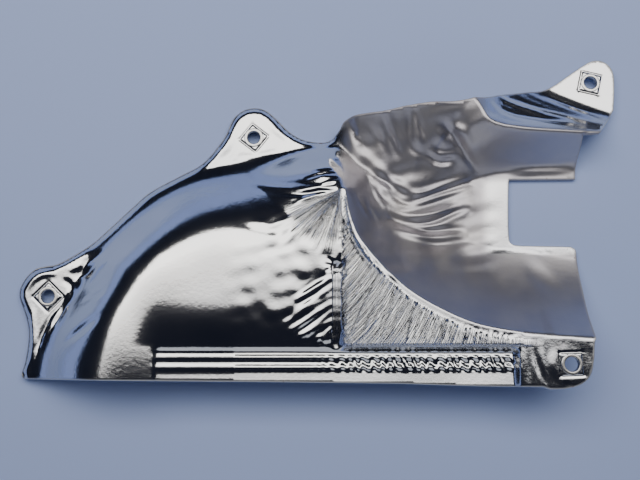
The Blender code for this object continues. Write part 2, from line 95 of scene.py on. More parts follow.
# Where the walls start and end; the back wall's crest changes level along its run.
form = {
    "bodyFoot": [(-187.0, -99.0), (-186.0, -88.4), (-182.0, -68.0), (-170.0, -44.0), (-157.5, -22.0),
                 (-151.0, -6.0), (-143.5, 4.0), (-123.0, 24.0), (-104.0, 38.5), (-86.0, 47.5),
                 (-72.0, 51.5), (-45.0, 57.0), (-12.0, 64.5), (4.0, 66.5), (15.0, 63.5), (26.8, 51.0),
                 (40.0, 29.8), (51.0, 12.5), (73.2, 6.4), (99.6, 1.0), (125.9, -3.4), (170.0, -9.0),
                 (190.0, -10.5)],
    "bodyCrest": [(-111.0, -99.0), (-111.0, -88.0), (-108.0, -56.0), (-90.0, -32.0), (-62.0, -19.0),
                  (-38.0, -18.0), (-15.0, -14.0), (2.0, -10.0), (13.7, 30.0), (17.6, 16.0), (21.5, 4.0),
                  (27.8, -6.3), (39.9, -20.6), (54.9, -34.2), (72.9, -45.1), (93.9, -54.2),
                  (117.9, -59.1), (142.0, -61.8), (166.1, -63.4), (190.0, -64.6)],
    "backFoot": [(2.0, 74.0), (12.0, 68.5), (26.9, 56.5), (44.2, 40.5), (59.5, 31.0), (78.6, 36.5),
                 (107.1, 45.4), (128.1, 48.9), (172.0, 50.3), (195.0, 51.0)],
    "backCrest": [(-1.0, 76.0, 6.0), (6.0, 79.0, 13.0), (11.7, 83.0, 19.0), (18.4, 88.0, 25.0),
                  (28.5, 88.0, 31.0), (40.1, 89.0, 35.0), (52.5, 91.0, 37.0), (76.0, 94.0, 37.5),
                  (96.0, 93.0, 36.5), (103.0, 84.0, 36.0), (108.4, 75.0, 36.0), (121.2, 71.4, 35.0),
                  (140.9, 70.2, 33.0), (166.0, 69.9, 29.0), (184.0, 69.6, 26.5), (200.0, 69.0, 24.0)],
    "earChord": [(150.0, 112.0), (157.0, 106.5), (178.0, 97.0), (198.9, 89.0), (206.0, 86.0)],
    "ledge": (-99.5, 118.4), "ledgeTop": -67.4, "ledgeFoot": -72.2, "ribs": (-74.6, -80.6),
    "grooveX": 10.3, "grooveEnd": -22.0, "joggle": (136.0, 142.5), "joggleSouth": (-40.0, -60.0),
    "saddleWest": (4.0, 24.0), "saddleEast": (22.0, 118.0), "rollEast": (24.0, -4.0),
    "rollWest": (-116.0, -96.0), "rollSouth": (-38.0, 29.0), "sharp": (-2.0, 34.0),
}


def ramp(low, high, value):
    t = np.clip((value - low) / (high - low), 0.0, 1.0)
    return t * t * (3.0 - 2.0 * t)


def within(x, y, acrossX, acrossY):
    # The product of some ramps in x and some in y.
    share = 1.0
    for low, high in acrossX:
        share = share * ramp(low, high, x)
    for low, high in acrossY:
        share = share * ramp(low, high, y)
    return share


def heading(turn):
    return math.cos(math.radians(turn)), math.sin(math.radians(turn))


def earLevel(cy):
    return levels["ear"] if cy > tabNorth else levels["plate"] + levels["tabRise"]


def spline(points, step):
    # A smooth line through the points, resampled at an even pace.
    p = np.array(points, float)
    if len(p) == 2:
        p = np.array([p[0], p[0] * 0.5 + p[1] * 0.5, p[1]])
    padded = np.vstack([2 * p[0] - p[1], p, 2 * p[-1] - p[-2]])
    fine = []
    for i in range(1, len(padded) - 2):
        a, b, c, d = padded[i - 1:i + 3]
        for t in np.linspace(0.0, 1.0, 12, endpoint=False):
            fine.append(0.5 * (2 * b + (c - a) * t + (2 * a - 5 * b + 4 * c - d) * t * t
                               + (3 * b - a - 3 * c + d) * t ** 3))
    fine.append(padded[-2])
    fine = np.array(fine)
    length = np.concatenate([[0.0], np.cumsum(np.linalg.norm(np.diff(fine[:, :2], axis=0), axis=1))])
    count = max(1, round(length[-1] / step))
    at = np.linspace(0.0, length[-1], count + 1)
    return np.stack([np.interp(at, length, fine[:, k]) for k in range(fine.shape[1])], axis=1)


def nearest(x, y, line):
    # The distance to a line, and the line's third column at the nearest place.
    best = np.full(x.shape, 1e9)
    level = np.zeros(x.shape)
    for a, b in zip(line[:-1], line[1:]):
        ex, ey = b[0] - a[0], b[1] - a[1]
        t = np.clip(((x - a[0]) * ex + (y - a[1]) * ey) / (ex * ex + ey * ey), 0.0, 1.0)
        d = np.hypot(x - a[0] - t * ex, y - a[1] - t * ey)
        hit = d < best
        best = np.where(hit, d, best)
        if line.shape[1] > 2:
            level = np.where(hit, a[2] + t * (b[2] - a[2]), level)
    return best, level


def inside(x, y, loop):
    found = np.zeros(x.shape, bool)
    for a, b in zip(loop, np.roll(loop, -1, axis=0)):
        crosses = (a[1] > y) != (b[1] > y)
        reach = a[0] + (y - a[1]) * (b[0] - a[0]) / (b[1] - a[1] if b[1] != a[1] else 1e-9)
        found ^= crosses & (x < reach)
    return found


bodyFoot = spline(form["bodyFoot"], 3.0)
bodyCrest = spline(form["bodyCrest"], 3.0)
backFoot = spline(form["backFoot"], 4.0)
backCrest = spline(form["backCrest"], 4.0)
earChord = spline(form["earChord"], 6.0)
scoopFrom = int(np.argmax(backCrest[:, 0] > 50.0))
# Each line bounds an area that is closed by corners outside the sheet.
bodyArea = np.vstack([bodyFoot[:, :2], [(240, -160), (-240, -160)]])
crestArea = np.vstack([bodyCrest[:, :2], [(240, -160), (-240, -160)]])
backArea = np.vstack([backFoot[:, :2], [(260, 51), (260, 200), (-1, 200), (-1, 76)]])
scoopArea = np.vstack([backCrest[scoopFrom:, :2], [(260, 69), (260, 200), (50, 200)]])
chordArea = np.vstack([earChord[:, :2], [(260, 86), (260, 200), (150, 200)]])


def rolled(t):
    # A low foot, a steep straight wall, and a roll over into a level top.
    foot, footWidth, turn, width = walls["foot"], walls["footWidth"], walls["turn"], walls["turnWidth"]
    start = footWidth * np.log((1 + np.exp((t - foot) / footWidth)) / (1 + math.exp(-foot / footWidth)))
    start = walls["straight"] * t + (1 - walls["straight"]) * start
    return start - width * np.log((1 + np.exp((t - turn) / width)) / (1 + math.exp(-turn / width)))


def sheet(x, y):
    # The level of the pressed form's upper face, without its wrinkles.
    base = levels["ear"] + levels["saddle"] * ramp(*form["saddleWest"], x)
    base = base - (levels["ear"] + levels["saddle"] - levels["floor"]) * ramp(*form["saddleEast"], x)
    plate = levels["plate"] + levels["tabRise"] * ramp(*form["joggle"], x) * ramp(*form["joggleSouth"], y)
    rollFrom, rollRun = form["rollSouth"]
    fading = ramp(*form["rollEast"], x) * ramp(*form["rollWest"], x)
    plate = plate - levels["roll"] * np.clip((rollFrom - y) / rollRun, 0.0, 1.0) ** 2 * fading
    footGap, _ = nearest(x, y, bodyFoot)
    crestGap, _ = nearest(x, y, bodyCrest)
    up = footGap / (footGap + crestGap + 1e-9)
    up = np.where(inside(x, y, bodyArea), up, 0.0)
    up = np.where(inside(x, y, crestArea), 1.0, up)
    shoulder = rolled(up) / rolled(1.0)
    bank = walls["bankStraight"] * up + walls["bankCurved"] * up * up
    body = (plate - base) * (shoulder + (bank - shoulder) * ramp(*form["sharp"], x))
    backGap, _ = nearest(x, y, backFoot)
    topGap, top = nearest(x, y, backCrest)
    rise = backGap / (backGap + topGap + 1e-9)
    rise = np.where(inside(x, y, backArea), rise, 0.0)
    straight, reach = walls["backStraight"], walls["backReach"]
    back = (top - base) * (straight * rise + (1 - straight) * ramp(0.0, reach, rise) / ramp(0.0, reach, 1.0))
    chordGap, _ = nearest(x, y, earChord)
    fall = topGap / (topGap + chordGap + 1e-9)
    scoop = (top - base) + (levels["ear"] - top) * (1.0 - (1.0 - fall) ** walls["scoopPower"])
    back = np.where(inside(x, y, scoopArea), scoop, back)
    back = np.where(inside(x, y, chordArea), levels["ear"] - base, back)
    meeting = np.maximum(0.0, walls["blend"] - np.abs(body - back))
    filled = 0.25 * meeting ** 2 / walls["blend"] * (np.minimum(body, back) > 0.01)
    z = base + np.maximum(body, back) + filled
    west, east = form["ledge"]
    span = ramp(west - 3.0, west + 2.0, x) * ramp(east + 3.0, east - 2.0, x)
    level = levels["ledge"] + levels["ledgeLean"] * np.maximum(0.0, -82.0 - y)
    z = z + (level - z) * ramp(form["ledgeTop"], form["ledgeFoot"], y) * span
    for rib in form["ribs"]:
        z = z + levels["rib"] * np.exp(-((y - rib) / levels["ribWidth"]) ** 2) * span
    groove = np.exp(-((x - form["grooveX"]) / levels["grooveWidth"]) ** 2)
    groove = groove * ramp(form["grooveEnd"] + 6.0, form["grooveEnd"], y)
    return z - levels["groove"] * groove * ramp(form["ledgeTop"] - 3.0, form["ledgeTop"], y)


def outline(step):
    return np.array([p for run in edgeRuns for p in spline(run, step)[:-1]])


edge = outline(stack["outlineStep"])
lipRun = outline(6.0)                                # the low edge, whose lip is turned down
lipRun = lipRun[:int(np.argmax(lipRun[:, 0] > 2.0)) + 1]


def surface(x, y):
    # The crumpled upper face: lips, wrinkles, and the flat ears with their squares.
    z = sheet(x, y)
    lipGap, _ = nearest(x, y, lipRun)
    near = ramp(levels["lipWidth"], 0.0, lipGap)
    drop = np.minimum(levels["lipDrop"], z - levels["ear"] + levels["lipDrop"])
    z = z - drop * near * ramp(*levels["lowOnly"], z)
    z = np.maximum(z + wrinkles(x, y) * (1.0 - 0.85 * near), np.minimum(z, levels["floor"]))
    for cx, cy, turn in ears.values():
        flat = levels["flatRadius"]
        z = z + (earLevel(cy) - z) * ramp(flat + levels["flatBlend"], flat, np.hypot(x - cx, y - cy))
        c, s = heading(turn)
        side = np.maximum(np.abs((x - cx) * c + (y - cy) * s), np.abs((y - cy) * c - (x - cx) * s))
        out = side - press["half"]
        moat = press["moat"] * np.exp(-((out - press["moatAt"]) / press["moatWidth"]) ** 2)
        z = z + press["rise"] * ramp(*press["edge"], out) - moat
    return z


def waves(x, y, seed, length, count=9):
    # Soft random unevenness: plain waves in every direction, about one length long.
    rng = random.Random(seed)
    total = 0.0 * x
    for _ in range(count):
        turn = rng.uniform(0, math.pi)
        pitch = 2 * math.pi / (length * rng.uniform(0.7, 1.6))
        total = total + np.sin((x * math.cos(turn) + y * math.sin(turn)) * pitch + rng.uniform(0, 6.3))
    return total / math.sqrt(count)


def crease(z, x, y, points, width, height, ends=0.35, valley=0.0):
    # A ridge, or a fold when height is negative, along a line; valley adds a trough beside it.
    line = spline(points, max(1.5, width))
    at = np.linspace(0.0, 1.0, len(line))
    low, high = line.min(axis=0) - 3.5 * width, line.max(axis=0) + 3.5 * width
    near = (x > low[0]) & (x < high[0]) & (y > low[1]) & (y < high[1])
    if not near.any():
        return
    px, py = x[near], y[near]
    gap, along = nearest(px, py, np.column_stack([line[:, :2], at]))
    fade = np.clip(np.minimum(along, 1.0 - along) / ends, 0.0, 1.0) ** 0.7 if ends else 1.0
    profile = np.exp(-(gap / width) ** 2)
    if valley:
        profile = profile - valley * np.exp(-((gap - 1.8 * width) / width) ** 2)
    z[near] += height * fade * profile


def dent(z, x, y, cx, cy, long, wide, turn, depth):
    # An oval hollow, or a bump when depth is negative.
    c, s = heading(turn)
    u = ((x - cx) * c + (y - cy) * s) / long
    v = (-(x - cx) * s + (y - cy) * c) / wide
    z -= depth * np.exp(-(u * u + v * v) ** 1.3)


fans = {
    "apex": {"at": (13.0, 29.0), "count": 34, "from": 178.0, "to": 266.0, "short": 16.0, "long": 62.0,
             "height": 0.55, "width": 0.75, "widen": 0.02, "start": (2.0, 9.0), "bend": 0.2},
    "arc": {"count": 72, "height": 0.5, "from": 19.0, "to": 128.0, "below": 12.0, "lean": 50.0, "turning": 36.0,
            "west": 13.5, "south": -63.8, "shortest": 4.0, "clear": 2.5, "shortened": 0.3},
    "diagonal": {"height": 0.95, "at": (8.6, -25.0), "pitch": 5.2, "lean": 218.0, "sag": 2.0,
                 "reaches": (30.0, 34.0, 38.0, 36.0, 30.0, 24.0, 17.0, 10.0)},
}


def addApexFan(z, x, y):
    # Fine creases that spread over the plate from the ridge's highest point.
    spec = fans["apex"]
    rng = random.Random(4)
    ax, ay = spec["at"]
    for k in range(spec["count"]):
        share = (k + rng.uniform(-0.3, 0.3)) / (spec["count"] - 1)
        turn = math.radians(spec["from"] + (spec["to"] - spec["from"]) * share)
        start = rng.uniform(*spec["start"])
        reach = rng.uniform(spec["short"], spec["long"]) * (1.0 - 0.25 * share)
        bend = rng.uniform(-spec["bend"], spec["bend"])
        points = []
        for t in (0.0, 0.35, 0.7, 1.0):
            r = start + (reach - start) * t
            points.append((ax + r * math.cos(turn + bend * t), ay + r * math.sin(turn + bend * t)))
        width = spec["width"] + spec["widen"] * reach
        crease(z, x, y, points, width, spec["height"] * rng.uniform(0.4, 1.0) * rng.choice((1, 1, -1)), 0.4, 0.4)


def addArcFan(z, x, y):
    # Pleats that run south-west from the curved ridge, steeper towards its east end.
    spec = fans["arc"]
    rng = random.Random(9)
    alongX, alongY = bodyCrest[:, 0], bodyCrest[:, 1]
    arc = bodyCrest[(alongX > spec["from"]) & (alongX < spec["to"]) & (alongY < spec["below"])]
    for k in range(spec["count"]):
        share = (k + rng.uniform(-0.35, 0.35)) / spec["count"]
        i = int(np.clip(share, 0.0, 0.999) * len(arc))
        sx, sy = arc[i]
        c, s = heading(spec["lean"] + spec["turning"] * min(1.0, share * 1.15) + rng.uniform(-4.0, 4.0))
        run = min((sy - spec["south"]) / s, (sx - spec["west"]) / max(c, 0.05))
        gone = spec["clear"] + rng.uniform(0.03, 0.16) * run
        if rng.random() < spec["shortened"]:
            run = run * rng.uniform(0.5, 0.9)
        points = [(sx - c * gone, sy - s * gone), (sx - c * run * 0.5 + rng.uniform(-0.5, 0.5), sy - s * run * 0.5),
                  (sx - c * run, sy - s * run)]
        if run > spec["shortest"]:
            height = spec["height"] * rng.uniform(0.5, 1.2) * (1.8 - 1.1 * share)
            crease(z, x, y, points, rng.uniform(0.8, 1.4), height, 0.25, 0.5)


def addDiagonals(z, x, y):
    # Parallel folds on the west side of the groove.
    spec = fans["diagonal"]
    rng = random.Random(3)
    sx, top = spec["at"]
    for k, reach in enumerate(spec["reaches"]):
        sy = top - k * spec["pitch"]
        c, s = heading(spec["lean"] + rng.uniform(-3.0, 3.0))
        points = [(sx + reach * t * c, sy + reach * t * s + spec["sag"] * t * t) for t in (0.0, 0.33, 0.66, 1.0)]
        crease(z, x, y, points, rng.uniform(1.5, 2.1), spec["height"] * rng.uniform(0.7, 1.1), 0.3, 0.45)


# Single folds: a line, its width, and its height.
channelFolds = [
    ([(38.6, 84.0), (45.3, 69.4), (52.3, 53.1)], 1.7, -1.3),
    ([(42.0, 84.0), (49.0, 70.0), (55.0, 57.0)], 2.0, 1.0),
    ([(29.5, 77.6), (39.9, 66.0), (44.0, 56.0)], 1.6, -1.0),
    ([(20.5, 60.2), (27.1, 52.0), (45.4, 38.4), (59.0, 28.3)], 2.0, -1.4),
    ([(24.0, 66.0), (36.0, 52.0), (52.0, 38.0)], 2.4, 1.1),
    ([(58.2, 88.0), (64.0, 76.0), (68.8, 66.5)], 1.5, -1.1),
    ([(57.5, 85.2), (58.4, 66.0), (61.6, 59.2), (69.4, 57.1)], 1.9, -1.5),
    ([(62.0, 82.0), (63.0, 68.0), (68.0, 61.0)], 2.2, 1.0),
    ([(79.4, 76.2), (89.0, 67.3), (96.6, 57.7), (106.0, 49.0)], 1.9, -1.5),
    ([(83.0, 79.0), (93.0, 70.0), (101.0, 60.0)], 2.4, 1.2),
    ([(69.6, 57.6), (79.4, 53.2), (89.4, 55.2)], 1.6, -1.5),
    ([(70.6, 60.6), (79.4, 58.2), (90.4, 58.2)], 1.5, 1.0),
    ([(43.7, 39.4), (48.9, 31.0), (58.8, 27.2), (77.5, 34.0), (108.0, 44.0)], 2.0, -1.7),
    ([(47.7, 44.4), (56.9, 35.0), (68.8, 33.2), (84.5, 40.0), (108.0, 48.0)], 2.2, 1.3),
    ([(44.2, 15.5), (58.0, 13.0), (72.6, 14.2), (96.0, 23.6), (101.0, 19.9)], 2.1, -1.7),
    ([(44.2, 21.0), (58.0, 18.5), (74.6, 20.2), (92.0, 28.0)], 2.3, 1.4),
    ([(50.0, 27.0), (66.0, 25.0), (84.0, 31.0), (104.0, 38.0)], 1.8, -1.2),
    ([(46.4, 7.8), (72.3, 3.5), (98.7, 5.5)], 2.6, 1.7),
    ([(48.0, 11.5), (72.3, 8.5), (97.0, 11.0)], 2.0, -1.2),
    ([(27.0, 28.0), (31.0, 20.0), (38.0, 8.0)], 1.7, -0.8),
    ([(22.0, 34.0), (25.0, 24.0), (31.0, 12.0)], 1.5, 0.7),
    ([(33.0, 44.0), (38.0, 30.0), (46.0, 20.0)], 2.0, 1.1),
    ([(72.0, 76.0), (84.0, 62.0), (96.0, 50.0)], 3.0, 0.9),
    ([(9.0, 62.0), (15.0, 52.0), (22.0, 42.0)], 2.3, 2.0),
    ([(13.0, 69.0), (20.0, 57.0), (28.0, 45.0)], 2.0, -1.9),
    ([(5.0, 57.0), (11.0, 47.0), (17.0, 38.0)], 1.8, -1.8),
    ([(18.0, 74.0), (25.0, 62.0), (33.0, 51.0)], 2.2, 1.6),
    ([(4.0, 66.0), (9.0, 70.5), (14.0, 75.0)], 2.0, 1.3),
]
bodyFolds = [
    ([(12.5, 22.0), (16.5, 6.0), (23.5, -9.0), (33.0, -22.0)], 1.2, 0.75),
    ([(11.5, 14.0), (13.5, 2.0), (18.0, -10.0)], 1.0, -0.6),
    ([(-2.0, 32.0), (4.0, 33.5), (12.0, 36.0)], 0.9, 0.8),
    ([(-10.0, 37.0), (0.0, 39.5), (12.0, 41.0)], 1.0, -0.9),
    ([(-6.0, 44.0), (4.0, 44.5), (14.0, 47.0)], 1.2, 1.0),
    ([(-14.0, 47.0), (0.0, 50.5), (12.0, 51.0)], 1.0, -0.7),
    ([(-1.0, 57.0), (9.0, 55.0), (19.0, 57.0)], 1.6, 0.8),
    ([(129.0, -64.0), (130.0, -76.0), (135.0, -92.0)], 1.4, -0.6),
    ([(120.5, -64.0), (121.0, -78.0), (120.5, -91.0)], 1.0, 0.45),
    ([(124.5, -64.0), (125.5, -78.0), (124.5, -91.0)], 1.1, -0.5),
    ([(132.5, -66.0), (133.0, -80.0), (131.5, -91.0)], 1.1, 0.4),
    ([(-160.0, -26.0), (-166.0, -40.0), (-172.0, -50.0), (-178.0, -62.0)], 1.4, 1.1),
    ([(-186.0, -40.0), (-185.0, -54.0), (-183.5, -66.0), (-184.0, -80.0)], 1.5, 1.2),
    ([(-175.0, -50.0), (-178.0, -58.0), (-182.0, -70.0)], 1.2, -0.8),
    ([(-160.0, -19.0), (-151.0, -12.0), (-139.0, -6.0)], 1.8, -0.9),
    ([(-152.0, -30.0), (-144.0, -18.0), (-136.0, -12.0)], 2.2, 0.7),
    ([(-152.0, -40.0), (-141.0, -36.0), (-134.0, -33.0)], 1.5, -0.5),
    ([(-190.0, -31.0), (-187.0, -24.5), (-180.5, -20.5), (-171.0, -20.0)], 1.9, 0.9),
    ([(-168.0, -24.0), (-163.0, -27.0), (-160.5, -34.0)], 1.8, -1.0),
    ([(-165.0, -18.0), (-158.0, -15.5), (-151.0, -12.0)], 1.7, 0.9),
    ([(-164.0, -38.0), (-167.0, -46.0), (-172.0, -54.0)], 1.8, -0.9),
    ([(-60.0, 80.0), (-57.5, 70.0), (-60.0, 62.0), (-68.0, 56.0)], 2.4, -1.0),
    ([(-34.0, 82.0), (-28.0, 76.0), (-22.0, 71.0)], 1.8, 0.6),
    ([(-56.0, 59.0), (-42.0, 60.5), (-28.0, 63.0)], 1.6, -0.7),
]
scoopFolds = [
    ([(126.0, 49.2), (140.0, 49.4), (156.0, 49.8), (174.0, 50.2)], 2.2, 1.7),
    ([(112.0, 92.0), (124.0, 84.0), (145.0, 80.5), (168.0, 79.0)], 2.4, -1.6),
    ([(116.0, 97.0), (132.0, 90.0), (150.0, 86.0)], 1.9, 1.4),
    ([(126.0, 99.0), (142.0, 92.0), (165.0, 85.0), (186.0, 78.0)], 1.8, -0.6),
    ([(138.0, 102.0), (156.0, 95.0), (178.0, 87.0), (194.0, 81.0)], 2.2, 0.6),
    ([(150.0, 103.5), (168.0, 95.0), (188.0, 86.5)], 1.4, -0.35),
]
dents = [                                            # place, length, width, turn and depth
    (-147.5, -57.0, 10.0, 2.6, 32.0, 1.3), (-152.5, -20.0, 6.0, 2.4, 18.0, 1.2),
    (148.0, -90.4, 3.0, 1.0, 48.0, 0.5), (143.0, -22.0, 11.0, 6.5, -52.0, 0.9),
    (146.0, -4.4, 2.0, 1.2, -35.0, -0.5), (152.0, -3.9, 2.0, 1.2, -35.0, -0.5),
    (165.0, -4.2, 2.4, 1.1, 0.0, -0.4), (166.0, 56.0, 6.0, 2.5, 5.0, 0.6),
    (-25.0, -8.0, 9.0, 3.0, 10.0, 0.5), (-10.0, -30.0, 7.0, 4.0, 30.0, 0.5),
    (-36.0, 4.0, 12.0, 3.0, -12.0, 0.4),
]
pinch = {"at": (10.8, -19.4), "radius": 2.6, "depth": 2.6, "armDepth": -0.8,
         "arms": (20.0, 75.0, 140.0, 172.0, 200.0, 236.0, 310.0)}
crush = {"wallEast": 60.0, "wallSouth": 25.0, "wallShare": 0.62, "share": 0.9, "narrow": 1.7, "flare": 3.6,
         "flareSpan": (-54.0, -69.0), "groove": [(-18.0, -23.0), (-71.0, -68.0)], "depth": 1.5, "lipAt": 3.4,
         "lip": 0.35, "lipWidth": 1.1, "ribs": 0.42, "ribsX": [(-10.0, 30.0), (121.0, 117.0)],
         "ribsY": [(-73.0, -74.6), (-83.5, -82.0)]}
unevenness = [                                       # height, seed, length, and where it fades
    (0.55, 5, 17.0, [(14.0, 40.0), (128.0, 96.0)], [(-36.0, -16.0)]),
    (0.22, 8, 60.0, [], []),
    (0.06, 12, 5.0, [(141.0, 145.0)], [(-66.0, -70.0)]),
    (0.18, 21, 15.0, [(-70.0, -20.0), (20.0, 0.0)], [(-66.0, -50.0), (30.0, 10.0)]),
]


def wrinkles(x, y):
    z = 0.0 * x
    for points, width, height in channelFolds + bodyFolds + scoopFolds:
        onTallWall = points[0][0] < crush["wallEast"] and points[0][1] > crush["wallSouth"]
        soft = crush["wallShare"] if onTallWall else crush["share"]
        crease(z, x, y, points, width, height * soft, 0.35, 0.3)
    for values in dents:
        dent(z, x, y, *values)
    addApexFan(z, x, y)
    addArcFan(z, x, y)
    addDiagonals(z, x, y)
    px, py = pinch["at"]
    z -= pinch["depth"] * np.exp(-(np.hypot(x - px, y - py) / pinch["radius"]) ** 2)
    for turn in pinch["arms"]:
        c, s = heading(turn)
        arm = [(px, py), (px + 4 * c, py + 4 * s), (px + 8.5 * c, py + 8.5 * s)]
        crease(z, x, y, arm, 1.0, pinch["armDepth"], 0.5)
    flare = crush["narrow"] + crush["flare"] * ramp(*crush["flareSpan"], y)
    inGroove = within(x, y, [], crush["groove"])
    z -= crush["depth"] * np.exp(-((x - form["grooveX"]) / flare) ** 2) * inGroove
    for side in (-crush["lipAt"], crush["lipAt"]):
        out = (x - form["grooveX"] - side * flare / 1.9) / crush["lipWidth"]
        z += crush["lip"] * np.exp(-out ** 2) * inGroove
    zigzag = np.sin((x + 0.9 * y) * 1.25 + 1.5 * np.sin(x * 0.31)) + 0.6 * np.sin((x - 0.8 * y) * 1.05 + 2.0)
    z += crush["ribs"] * within(x, y, crush["ribsX"], crush["ribsY"]) * zigzag
    for height, seed, length, acrossX, acrossY in unevenness:
        z += height * within(x, y, acrossX, acrossY) * waves(x, y, seed, length)
    return z


def insetLoop(loop, gap):
    # The loop moved inwards by the gap, mitred at its corners.
    before = loop - np.roll(loop, 1, axis=0)
    after = np.roll(loop, -1, axis=0) - loop
    before /= np.linalg.norm(before, axis=1, keepdims=True)
    after /= np.linalg.norm(after, axis=1, keepdims=True)
    n1 = np.stack([before[:, 1], -before[:, 0]], axis=1)
    n2 = np.stack([after[:, 1], -after[:, 0]], axis=1)
    mid = n1 + n2
    mid /= np.linalg.norm(mid, axis=1, keepdims=True)
    return loop + mid * (gap / np.maximum(0.45, (mid * n1).sum(axis=1)))[:, None]


def circle(cx, cy, r, count):
    turn = np.arange(count) * 2 * math.pi / count
    return np.stack([cx + r * np.cos(turn), cy + r * np.sin(turn)], axis=1)


def spread(step, west, south, east, north):
    # Points in staggered rows, nearly equilateral.
    ys = np.arange(south, north, step * 0.87)
    xs = np.arange(west, east, step)
    gx, gy = np.meshgrid(xs, ys)
    return (gx + ((np.arange(len(ys)) % 2) * step / 2)[:, None]).ravel(), gy.ravel()


def squareRim(cx, cy, turn, half, count):
    c, s = heading(turn)
    corners = [(-half, -half), (half, -half), (half, half), (-half, half)]
    loop = [(ax + (bx - ax) * k / count, ay + (by - ay) * k / count)
            for (ax, ay), (bx, by) in zip(corners, corners[1:] + corners[:1]) for k in range(count)]
    return np.array([(cx + u * c - v * s, cy + u * s + v * c) for u, v in loop])


def planMesh(step, fineStep, rim, square=0.0):
    # One triangulated plan of the sheet with its four openings, finer where it is crumpled.
    gx, gy = spread(step, *stack["extent"])
    if fineStep:
        west, south, east, north = stack["crumpled"]
        coarse = (gx < west) | (gx > east) | (gy < south) | (gy > north)
        fx, fy = spread(fineStep, west, south, east, north)
        gx, gy = np.concatenate([gx[coarse], fx]), np.concatenate([gy[coarse], fy])
        for cx, cy, _ in ears.values():
            reach = press["reach"]
            away = np.hypot(gx - cx, gy - cy) > reach
            fx, fy = spread(press["fine"], cx - reach, cy - reach, cx + reach, cy + reach)
            close = np.hypot(fx - cx, fy - cy) < reach
            gx, gy = np.concatenate([gx[away], fx[close]]), np.concatenate([gy[away], fy[close]])
    keep = inside(gx, gy, insetLoop(rim, stack["edgeMargin"]))
    points = [tuple(p) for p in rim]
    openings = []
    for cx, cy, turn in ears.values():
        if square:
            openings.append(squareRim(cx, cy, turn, square, stack["squareSteps"]))
            keep &= ~inside(gx, gy, squareRim(cx, cy, turn, square + stack["squareMargin"], 2))
        else:
            openings.append(circle(cx, cy, stack["hole"], stack["holeSides"]))
            keep &= np.hypot(gx - cx, gy - cy) > stack["hole"] + step * 0.5
        points += [tuple(p) for p in openings[-1]]
    points += list(zip(gx[keep], gy[keep]))
    found = delaunay_2d_cdt([Vector(p) for p in points], [], [list(range(len(rim)))], 1, 1e-6)
    xy = np.array([tuple(v) for v in found[0]])
    faces = np.array(found[2])
    a, b, c = xy[faces[:, 0]], xy[faces[:, 1]], xy[faces[:, 2]]
    area = (b[:, 0] - a[:, 0]) * (c[:, 1] - a[:, 1]) - (b[:, 1] - a[:, 1]) * (c[:, 0] - a[:, 0])
    faces = np.where(area[:, None] < 0, faces[:, ::-1], faces)
    centre = (a + b + c) / 3
    hole = np.zeros(len(faces), bool)
    for loop in openings:
        hole |= inside(centre[:, 0], centre[:, 1], loop)
    return xy, faces[~hole]


def upright(x, y, h=0.7):
    # How level the sheet is: one on the flat, less on a slope.
    zx = (surface(x + h, y) - surface(x - h, y)) / (2 * h)
    zy = (surface(x, y + h) - surface(x, y - h)) / (2 * h)
    return np.maximum(0.5, 1.0 / np.sqrt(1.0 + zx * zx + zy * zy))


def borderOf(faces):
    # The edges that only one triangle uses.
    one = np.concatenate([faces[:, [0, 1]], faces[:, [1, 2]], faces[:, [2, 0]]])
    seen = {(int(a), int(b)) for a, b in one}
    return [e for e in seen if (e[1], e[0]) not in seen]


def satinAndShadeShare(x, y):
    # The pressing has dulled the sheet in the channel, and the darker, bluish colour given there is painted shade.
    share = ramp(9.0, 20.0, x) * ramp(bendLimit(x) - 3.0, bendLimit(x) + 3.0, y)
    share = share * (1.0 - 0.85 * ramp(0.0, 4.0, y - scoopLimit(x)) * ramp(103.0, 110.0, x))
    byNotch = ramp(106.0, 116.0, x) * ramp(-7.5, -5.5, y) * ramp(46.5, 40.0, y)
    return share * (1.0 - 0.8 * byNotch)


def bendLimit(x):
    along = bodyCrest[bodyCrest[:, 0] > 13.7]
    order = np.argsort(along[:, 0])
    return np.interp(x, along[order, 0], along[order, 1])


def scoopLimit(x):
    return np.interp(x, backCrest[scoopFrom:, 0], backCrest[scoopFrom:, 1])


def pieceFrom(name, vertices, faces):
    mesh = bpy.data.meshes.new(name)
    placed = (np.array(vertices) + np.array(toFrame)) * millimetre
    mesh.from_pydata([tuple(p) for p in placed], [], [tuple(map(int, f)) for f in faces])
    mesh.update()
    thing = bpy.data.objects.new(name, mesh)
    bpy.context.scene.collection.objects.link(thing)
    mesh.shade_smooth()
    return thing


# The hem's section: inset from the trimmed edge, and depth.
hemChain = [(0.18, 0.12), (0.0, 0.55), (0.0, 2.65), (0.2, 3.05), (0.6, 3.25), (2.1, 3.25), (2.3, 3.15),
            (2.3, 2.9), (0.5, 2.85), (0.45, 0.75)]


